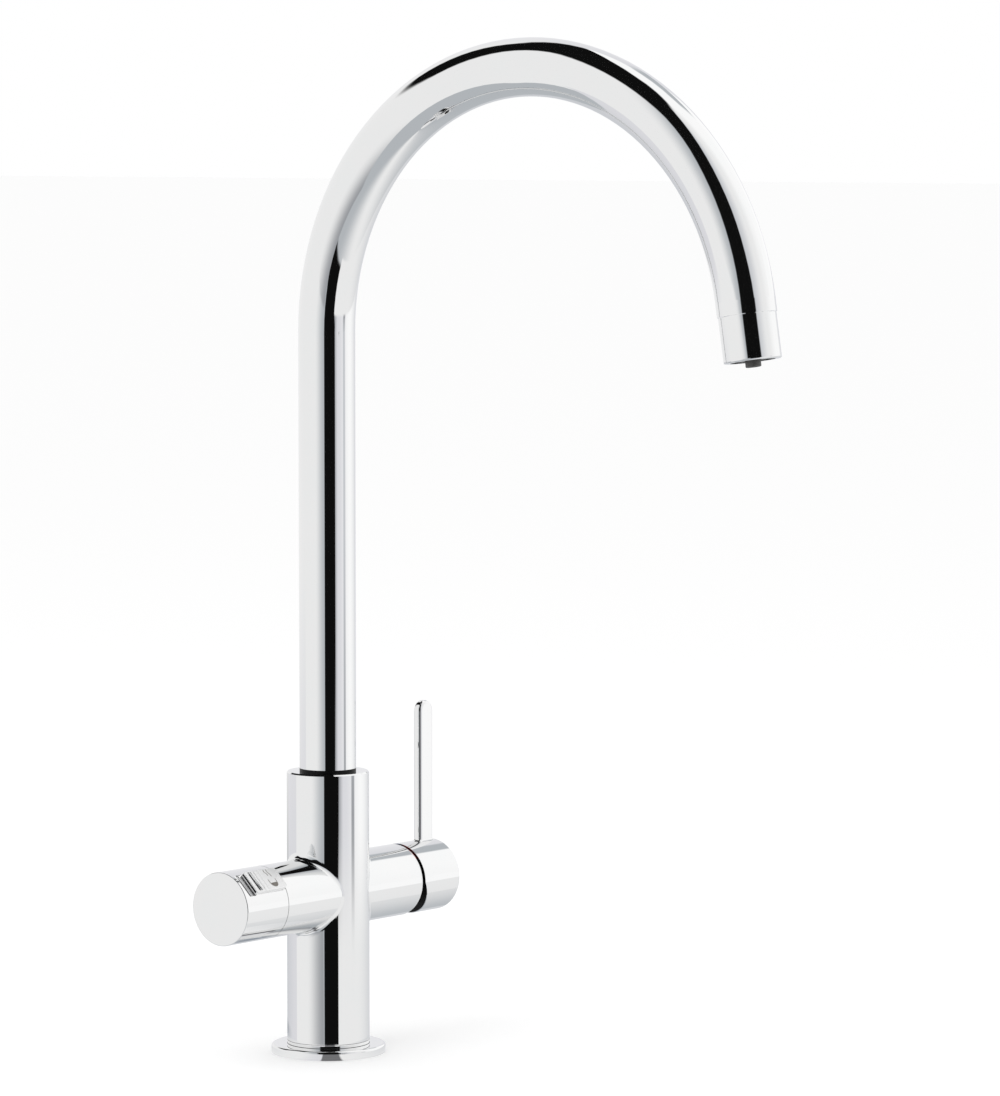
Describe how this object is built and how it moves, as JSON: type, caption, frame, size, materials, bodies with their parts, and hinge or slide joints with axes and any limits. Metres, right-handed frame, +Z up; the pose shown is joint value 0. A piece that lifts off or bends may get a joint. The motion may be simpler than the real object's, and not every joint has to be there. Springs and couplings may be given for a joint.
{
  "type": "boiling water tap",
  "caption": "Swan neck worktop tap with a boiling-water handle and safety slide on one arm and a hot and cold mixer lever on the other.",
  "frame": {"origin": "centre of the base flange's underside, on the worktop, on the column's axis", "axes": "+Z up along the column; the spout reaches towards -Y; the boiling-water handle is towards -X and the mixer lever towards +X"},
  "size_m": [0.1436, 0.2683, 0.4456],
  "materials": {
    "chrome_plate": "polished chrome plate on brass",
    "bare_brass": "machined brass",
    "stainless_steel": "bright drawn stainless steel",
    "black_plastic": "moulded black acetal",
    "grey_plastic": "moulded heat-resistant dark grey plastic",
    "white_plastic": "natural acetal",
    "rubber_seal": "EPDM rubber",
    "ceramic": "lapped alumina ceramic",
    "hot_red": "red inlay",
    "cold_blue": "blue inlay"
  },
  "bodies": {
    "fixed_body": {"base_flange": "chrome_plate", "base_gasket": "rubber_seal", "tap_body": "chrome_plate", "neck_ring": "black_plastic", "spout_bush": "white_plastic", "spout_lock_screw": "stainless_steel", "inner_tube_seal": "rubber_seal", "boil_seat_seal": "rubber_seal", "boil_fixed_disc": "ceramic", "boil_cartridge": "bare_brass", "boil_slip_ring": "white_plastic", "mixer_seat_seals": "rubber_seal", "mixer_fixed_disc": "ceramic", "mixer_cartridge": "white_plastic", "mixer_cartridge_nut": "bare_brass", "temperature_ring": "black_plastic", "hot_mark": "hot_red", "cold_mark": "cold_blue"},
    "spout": {"spout_tube": "chrome_plate", "outlet_ferrule": "chrome_plate", "spout_spigot": "bare_brass", "spout_orings": "rubber_seal", "boiling_inner_tube": "stainless_steel", "outlet_collar": "chrome_plate", "outlet_washer": "rubber_seal", "flow_former": "black_plastic", "boiling_nozzle": "grey_plastic"},
    "boil_control": {"boil_handle": "chrome_plate", "boil_handle_cap": "chrome_plate", "boil_spindle": "bare_brass", "spindle_oring": "rubber_seal", "boil_moving_disc": "ceramic", "boil_handle_screw": "stainless_steel", "slide_spring": "stainless_steel"},
    "safety_button": {"safety_slide": "chrome_plate", "safety_latch": "stainless_steel", "latch_screws": "stainless_steel"},
    "mixer_turret": {"mixer_carrier": "white_plastic", "mixer_pivot_pin": "stainless_steel"},
    "mixer_slider": {"mixer_moving_disc": "ceramic"},
    "mixer_lever": {"mixer_stem": "stainless_steel", "mixer_handle": "chrome_plate", "mixer_grub_screw": "stainless_steel", "grub_plug": "chrome_plate"}
  },
  "joints": [
    {"name": "spout_swivel", "type": "hinge", "parent": "fixed_body", "child": "spout", "pos_m": [0, 0, 0.125], "axis": [0, 0, 1], "range_deg": [-180, 180]},
    {"name": "boil_handle_turn", "type": "hinge", "parent": "fixed_body", "child": "boil_control", "pos_m": [-0.0444, 0, 0.0714], "axis": [1, 0, 0], "range_deg": [0, 90]},
    {"name": "safety_slide_out", "type": "slide", "parent": "boil_control", "child": "safety_button", "axis": [-1, 0, 0], "range_m": [0, 0.0045], "stiffness_N_per_m": 200, "springref_m": -0.002, "deforming": ["slide_spring"]},
    {"name": "mixer_temperature", "type": "hinge", "parent": "fixed_body", "child": "mixer_turret", "pos_m": [0.0455, 0, 0.0714], "axis": [1, 0, 0], "range_deg": [-45, 45]},
    {"name": "mixer_tilt", "type": "hinge", "parent": "mixer_turret", "child": "mixer_lever", "pos_m": [0.039, 0, 0.0714], "axis": [0, 1, 0], "range_deg": [0, 22]},
    {"name": "mixer_disc_slide", "type": "slide", "parent": "mixer_turret", "child": "mixer_slider", "axis": [0, 0, 1], "range_m": [0, 0.00376]}
  ],
  "couplings": [
    {"joint": "mixer_disc_slide", "follows": "mixer_tilt", "m_per_rad": 0.009756}
  ]
}
